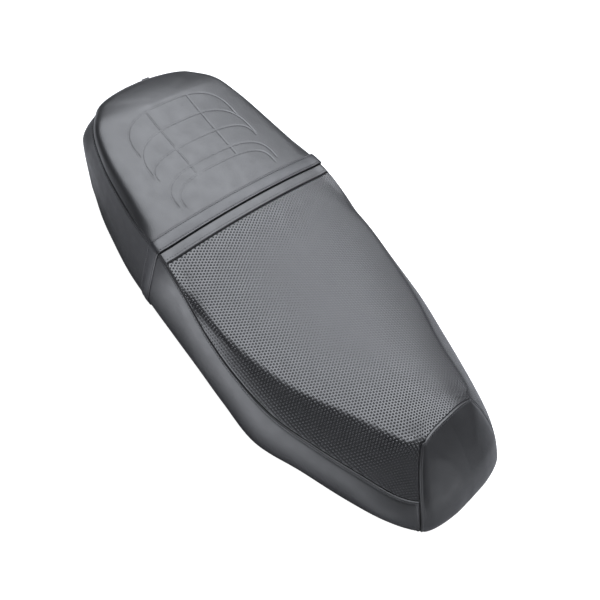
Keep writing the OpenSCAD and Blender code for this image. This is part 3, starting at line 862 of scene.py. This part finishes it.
def make_foam():
    """The foam under the cover: swollen by its own pressure, and held down along the seams."""
    foam = frame["nodes"]["foam_cushion"].copy()
    foam.data = foam.data.copy()
    foam.name = "foam"
    foam.parent = None
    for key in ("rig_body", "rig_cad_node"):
        del foam[key]
    collection_link(foam)
    remesh = foam.modifiers.new("remesh", "REMESH")
    remesh.mode = "VOXEL"
    remesh.voxel_size = FOAM_VOXEL * MM
    only_selected(foam)
    bpy.ops.object.modifier_apply(modifier=remesh.name)
    shrunk = vertices_of(foam) - vertex_normals(foam) * FOAM_START * MM
    shrunk = from_seat(with_round_nose(to_seat(shrunk)))
    set_vertices(foam, shrunk)
    start, moved = swollen(foam)
    away = distance_to(seam_tree, to_seat(start))
    set_vertices(foam, start + moved * smooth_step(away / FOAM_HELD)[:, None])
    only_selected(foam)
    foam.modifiers.new("smooth", "SUBSURF").levels = 1
    bpy.ops.object.modifier_apply(modifier="smooth")
    foam.data.materials.clear()
    foam.data.materials.append(FOAM)
    foam.data.shade_smooth()
    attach(foam, SEAT)
    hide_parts("foam_cushion")
    return to_seat(start), np.linalg.norm(moved, axis=1) / MM


foam_start, foam_swell = make_foam()
foam_tree = tree_of(foam_start)


def swell_at(points):
    """How far the foam pushes the cover out, smoothed over the nearest points of the foam."""
    if not foam_swell.any():
        return np.zeros(len(points))
    height = np.zeros(len(points))
    for i, p in enumerate(points):
        near = foam_tree.find_n(Vector(p), SWELL_NEAR)
        weight = np.array([1 / (n[2] + SWELL_MELLOW) for n in near])
        height[i] = (foam_swell[[n[1] for n in near]] * weight).sum() / weight.sum()
    return height * SWELL_SHARE


# ---------------------------------------------------------------- cover panels

COVER_GRID, SMOOTH_GRID, SIDE_GRID, FLANK_GRID, NOSE_ROW_GRID, EDGE_GRID = 2.6, 3, 3, 2, 1.6, 2.8
RIDER_GRID, PANEL_GRID = 2.4, 2.2
PRESSED_REAR, PRESSED_FRONT, PRESSED_BAND = 62, 204, 0.8


def rows_beside(places, *seams):
    """Adds close rows beside crosswise seams."""
    extra = [s + d for s in seams for d in np.concatenate([-NEAR_SEAM, NEAR_SEAM])]
    near = [p for p in places if min(abs(p - s) for s in seams) > NEAR_SEAM[-1]]
    inside = [e for e in extra if places[0] <= e <= places[-1]]
    return np.unique(np.round(np.concatenate([near, inside]), 4))


def strip_blocks():
    beside = NEAR_SEAM[:11]
    rows = np.unique(np.concatenate([STRAP_FRONT + beside, STRIP_FRONT - beside]))
    return [
        block(rows, columns(rows, -1, 1, PANEL_GRID)),
        block(rows, columns(rows, 1, 2, PANEL_GRID, near_last=True)),
        block(rows, columns(rows, -2, -1, PANEL_GRID, near_first=True)),
    ]


def passenger_blocks():
    """Close rows and columns where lines are pressed in, wider ones around them."""
    rows = np.concatenate([
        even_places(0, PRESSED_REAR, COVER_GRID),
        even_places(PRESSED_REAR, PRESSED_FRONT, PRESS_GRID)[1:],
        even_places(PRESSED_FRONT, STRAP_FRONT, SMOOTH_GRID)[1:],
    ])
    rows = rows_beside(rows, STRAP_FRONT)
    spans = [
        (-1, -PRESSED_BAND, EDGE_GRID),
        (-PRESSED_BAND, PRESSED_BAND, PRESS_GRID),
        (PRESSED_BAND, 1, EDGE_GRID),
    ]
    return [block(rows, columns(rows, *span)) for span in spans] + [
        block(rows, columns(rows, 1, 2, PANEL_GRID, near_last=True)),
        block(rows, columns(rows, -2, -1, PANEL_GRID, near_first=True)),
    ]


def rider_blocks():
    rows = rows_beside(even_places(STRIP_FRONT, CORNER, COVER_GRID), STRIP_FRONT, CORNER)
    front = rows_beside(even_places(CORNER, FRONT, FLANK_GRID), CORNER)
    every = np.unique(np.concatenate([rows, front]))
    middle = columns(every, -1, 1, RIDER_GRID, near_first=True, near_last=True)
    return [
        block(every, middle),
        block(rows, columns(rows, 1, 2, FLANK_GRID, near_last=True)),
        block(rows, columns(rows, -2, -1, FLANK_GRID, near_first=True)),
    ]


def side_blocks(side):
    rows = rows_beside(even_places(0, CORNER, COVER_GRID), CORNER)
    bands = columns(rows, 2, 5, SIDE_GRID, near_first=True)
    return [block(rows, bands, side)]


def nose_blocks():
    rows = rows_beside(even_places(CORNER, FRONT, NOSE_ROW_GRID), CORNER)
    bands = columns(rows, 1, 5, PANEL_GRID, near_first=True)
    return [block(rows, bands, 1), block(rows, bands, -1)]


panel(
    "passenger_cover", "passenger_top_panel", SMOOTH, passenger_blocks(),
    pressed=True,
)
panel("strip_cover", "step_strip_panel", SMOOTH, strip_blocks())
panel("rider_cover", "rider_top_panel", PERFORATED, rider_blocks())
panel("side_cover_left", "side_panel_left", SIDE, side_blocks(1), stitched=True)
panel("side_cover_right", "side_panel_right", SIDE, side_blocks(-1), stitched=True)
panel("nose_cover", "nose_panel", SMOOTH, nose_blocks(), stitched=True)

# ---------------------------------------------------------------- strap

STRAP_T, STRAP_GAP, STRAP_ROUND, STRAP_GRID = 2.0, 0.3, 1.1, 2.2
# The strap's stitched furrow: depth, distance from the edge and width; then its padded rise.
FURROW_DEPTH, FURROW_AT, FURROW_W = 0.3, 2.6, 0.7
PAD_RISE, PAD_FROM, PAD_EASE = 0.35, 3, 5


def strap_profile(across):
    """Height over the cover's skin at a distance from the strap's edge."""
    edge = np.minimum(across, STRAP_FRONT - STRAP_REAR - across)
    fall = np.clip(1 - edge / STRAP_ROUND, 0, 1)
    rounded = STRAP_ROUND * (1 - np.sqrt(1 - fall ** 2))
    furrow = FURROW_DEPTH * np.exp(-((edge - FURROW_AT) / FURROW_W) ** 2)
    pad = PAD_RISE * smooth_step((edge - PAD_FROM) / PAD_EASE)
    return STRAP_GAP + STRAP_T - rounded - furrow + pad


def make_strap():
    """The strap over the cover, from hem to hem."""
    width = STRAP_FRONT - STRAP_REAR
    half = np.array([0, 0.1, 0.3, 0.6, 1, 1.5, 2, 2.3, 2.6, 2.9, 3.4, 4, 5, 6.2, 7.6, 9.5])
    across = np.concatenate([half, width - half[-2::-1]])
    rows = STRAP_REAR + across
    bands = columns(rows, -5, 5, STRAP_GRID)
    points, faces, flat = welded(block(rows, bands))
    normals = normals_of(points, faces)
    row = np.interp(points[:, 0], [STRAP_REAR, STRAP_FRONT], [0, width])
    outer = points + normals * strap_profile(row)[:, None]
    inner = points + normals * STRAP_GAP
    obj = make_object("strap", *shell(outer, faces, flat, inner))
    obj.data.materials.append(STRAP_VINYL)
    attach(obj, SEAT)
    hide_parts("grab_strap")
    flat = (width * MM, STRAP_LONG * MM)


strap_line = surface((STRAP_REAR + STRAP_FRONT) / 2 * full, 10 * unit - 5)
STRAP_LONG = arc_length(strap_line)[-1]
make_strap()

# ---------------------------------------------------------------- stitching

STITCH_PITCH, STITCH_LENGTH, THREAD_R = 4.0, 2.9, 0.42
THREAD_RINGS, THREAD_SIDES, THREAD_TIP = 5, 6, 0.06
THREAD_RISE, THREAD_DIP = 0.12, 0.25
STRAP_STITCH_BAND, STRAP_SINK, STRIP_BAND = 3.4, 0.2, 1.97


def stitches(name, paths):
    """Rows of sewn thread: each stitch a short round-ended length lying along its line."""
    rings, around = THREAD_RINGS, THREAD_SIDES
    points, faces = [], []
    for path, outward in paths:
        s = arc_length(path)
        centres = np.arange(STITCH_PITCH / 2, s[-1] - STITCH_PITCH / 2, STITCH_PITCH)
        for c in centres:
            at = np.array([np.interp(c, s, path[:, k]) for k in range(3)])
            up = np.array([np.interp(c, s, outward[:, k]) for k in range(3)])
            ahead = np.array([np.interp(c + 0.5, s, path[:, k]) for k in range(3)]) - at
            ahead /= np.linalg.norm(ahead)
            across = np.cross(ahead, up)
            across /= np.linalg.norm(across)
            base = len(points)
            for i in range(rings):
                t = math.sin(math.pi / 2 * (2 * i / (rings - 1) - 1))
                radius = THREAD_R * math.sqrt(max(THREAD_TIP, 1 - t ** 4))
                rise = up * (THREAD_RISE - THREAD_DIP * t * t)
                middle = at + ahead * t * STITCH_LENGTH / 2 + rise
                for k in range(around):
                    a = 2 * math.pi * k / around
                    points.append(middle + (across * math.cos(a) + up * math.sin(a)) * radius)
            for i in range(rings - 1):
                for k in range(around):
                    a, b = base + i * around, base + (i + 1) * around
                    n = (k + 1) % around
                    faces.append([a + k, a + n, b + n, b + k])
            faces.append([base + k for k in range(around)][::-1])
            faces.append([base + (rings - 1) * around + k for k in range(around)])
    obj = make_object(name, np.array(points), faces)
    obj.data.materials.append(THREAD)
    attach(obj, SEAT)


def skin_normal(places, bands, side=None):
    """Outward directions of the skin, from small steps each way."""
    e = 0.01
    low = np.maximum(places - 1, 0)
    high = np.minimum(places + 1, FRONT)
    a = surface(high, bands, side) - surface(low, bands, side)
    b = surface(places, bands + e, side) - surface(places, bands - e, side)
    n = np.cross(a, b)
    p = surface(places, bands, side)
    n *= np.sign((n * (p - core_of(p))).sum(1))[:, None]
    return n / np.linalg.norm(n, axis=1, keepdims=True)


def below_seam(places, band, distance, side):
    """A line a set distance down the skin from a band, with its outward directions."""
    bands = np.linspace(band, band + 1, 81)
    rows, across = np.meshgrid(places, bands, indexing="ij")
    grid = surface(rows, across, side)
    s = np.cumsum(np.linalg.norm(np.diff(grid, axis=1), axis=2), axis=1)
    found = np.array([np.interp(distance, np.concatenate([[0], row]), bands) for row in s])
    return with_round_nose(surface(places, found, side)), skin_normal(places, found, side)


def side_stitches(side):
    rows = np.linspace(1, CORNER - 3, 700)
    return below_seam(rows, 2, STITCH_AT, side)


def nose_stitches():
    rows = np.linspace(CORNER + 4, FRONT, 200)
    left = below_seam(rows, 1, STITCH_AT, 1)
    right = below_seam(rows, 1, STITCH_AT, -1)
    return tuple(np.concatenate([a[:-1], b[::-1]]) for a, b in zip(left, right))


def strap_stitches(distance):
    bands = np.linspace(-STRAP_STITCH_BAND, STRAP_STITCH_BAND, 900)
    rows = np.full(900, float(distance))
    up = skin_normal(rows, bands)
    return surface(rows, bands) + up * (STRAP_GAP + STRAP_T - STRAP_SINK), up


def strip_stitches():
    bands = np.linspace(-STRIP_BAND, STRIP_BAND, 700)
    rows = np.full(700, STRIP_FRONT - STITCH_AT)
    return surface(rows, bands), skin_normal(rows, bands)


stitches("stitching_side_left", [side_stitches(1)])
stitches("stitching_side_right", [side_stitches(-1)])
stitches("stitching_nose", [nose_stitches()])
strap_rows = [strap_stitches(STRAP_REAR + FURROW_AT), strap_stitches(STRAP_FRONT - FURROW_AT)]
stitches("stitching_strap", strap_rows)
stitches("stitching_strip", [strip_stitches()])


tab = frame["nodes"]["rear_seam_tab"].data
tab.materials.clear()
tab.materials.append(TAPE)

# ---------------------------------------------------------------- floor and light

FLOOR_TONE, BACKDROP = (0.38, 0.38, 0.39, 1), 1.1


def make_floor():
    """A pale floor, over-exposed to white in the picture, as studio backgrounds are."""
    size = 6
    mesh = bpy.data.meshes.new("floor")
    corners = [(-size, -size, 0), (size, -size, 0), (size, size, 0), (-size, size, 0)]
    mesh.from_pydata(corners, [], [(0, 1, 2, 3)])
    floor = collection_link(bpy.data.objects.new("floor", mesh))
    material, tree, shader = node_tree("floor_white")
    shader.inputs["Base Color"].default_value = FLOOR_TONE
    shader.inputs["Roughness"].default_value = 0.9
    shader.inputs["Emission Color"].default_value = (1, 1, 1, 1)
    seen = add(tree, "ShaderNodeLightPath").outputs["Is Camera Ray"]
    tree.links.new(seen, shader.inputs["Emission Strength"])
    mesh.materials.append(material)


def make_softbox(name, direction, distance, size, radiance, around=(0, 0, 0)):
    """A rectangular light of even brightness, facing the point it is placed around."""
    light = bpy.data.lights.new(name, "AREA")
    light.shape = "RECTANGLE"
    light.size, light.size_y = size
    light.energy = radiance * math.pi * size[0] * size[1]
    light.color = (0.91, 0.94, 1)
    obj = collection_link(bpy.data.objects.new(name, light))
    toward = Vector(direction).normalized()
    obj.location = Vector(around) + toward * distance
    obj.rotation_mode = "QUATERNION"
    obj.rotation_quaternion = toward.to_track_quat("Z", "Y")
    obj.visible_camera = False


def make_world(strength):
    """Dim even light from all round, and white where the camera sees past the floor."""
    world = bpy.data.worlds.new("studio")
    world.use_nodes = True
    tree = world.node_tree
    background = tree.nodes["Background"]
    background.inputs["Color"].default_value = (0.95, 0.97, 1, 1)
    seen = add(tree, "ShaderNodeLightPath").outputs["Is Camera Ray"]
    shown = maths(tree, "ADD", maths(tree, "MULTIPLY", seen, BACKDROP - strength), strength)
    tree.links.new(shown, background.inputs["Strength"])
    bpy.context.scene.world = world


make_floor()
make_world(0.2)
make_softbox("softbox_top", (-0.195, 0.366, 0.910), 2.2, (2.8, 2.1), 7.8)
make_softbox("softbox_side", (-0.1, -1, 0.12), 2.4, (2.6, 0.8), 1.6)
make_softbox("softbox_front", (1, 0.1, 0.2), 2.2, (1.8, 0.9), 1.9)
make_softbox("card_low", (0, 0, -1), 0.002, (0.9, 0.8), 3.0, around=(0.3, -0.59, 0.006))
bpy.context.scene.view_settings.view_transform = "Standard"
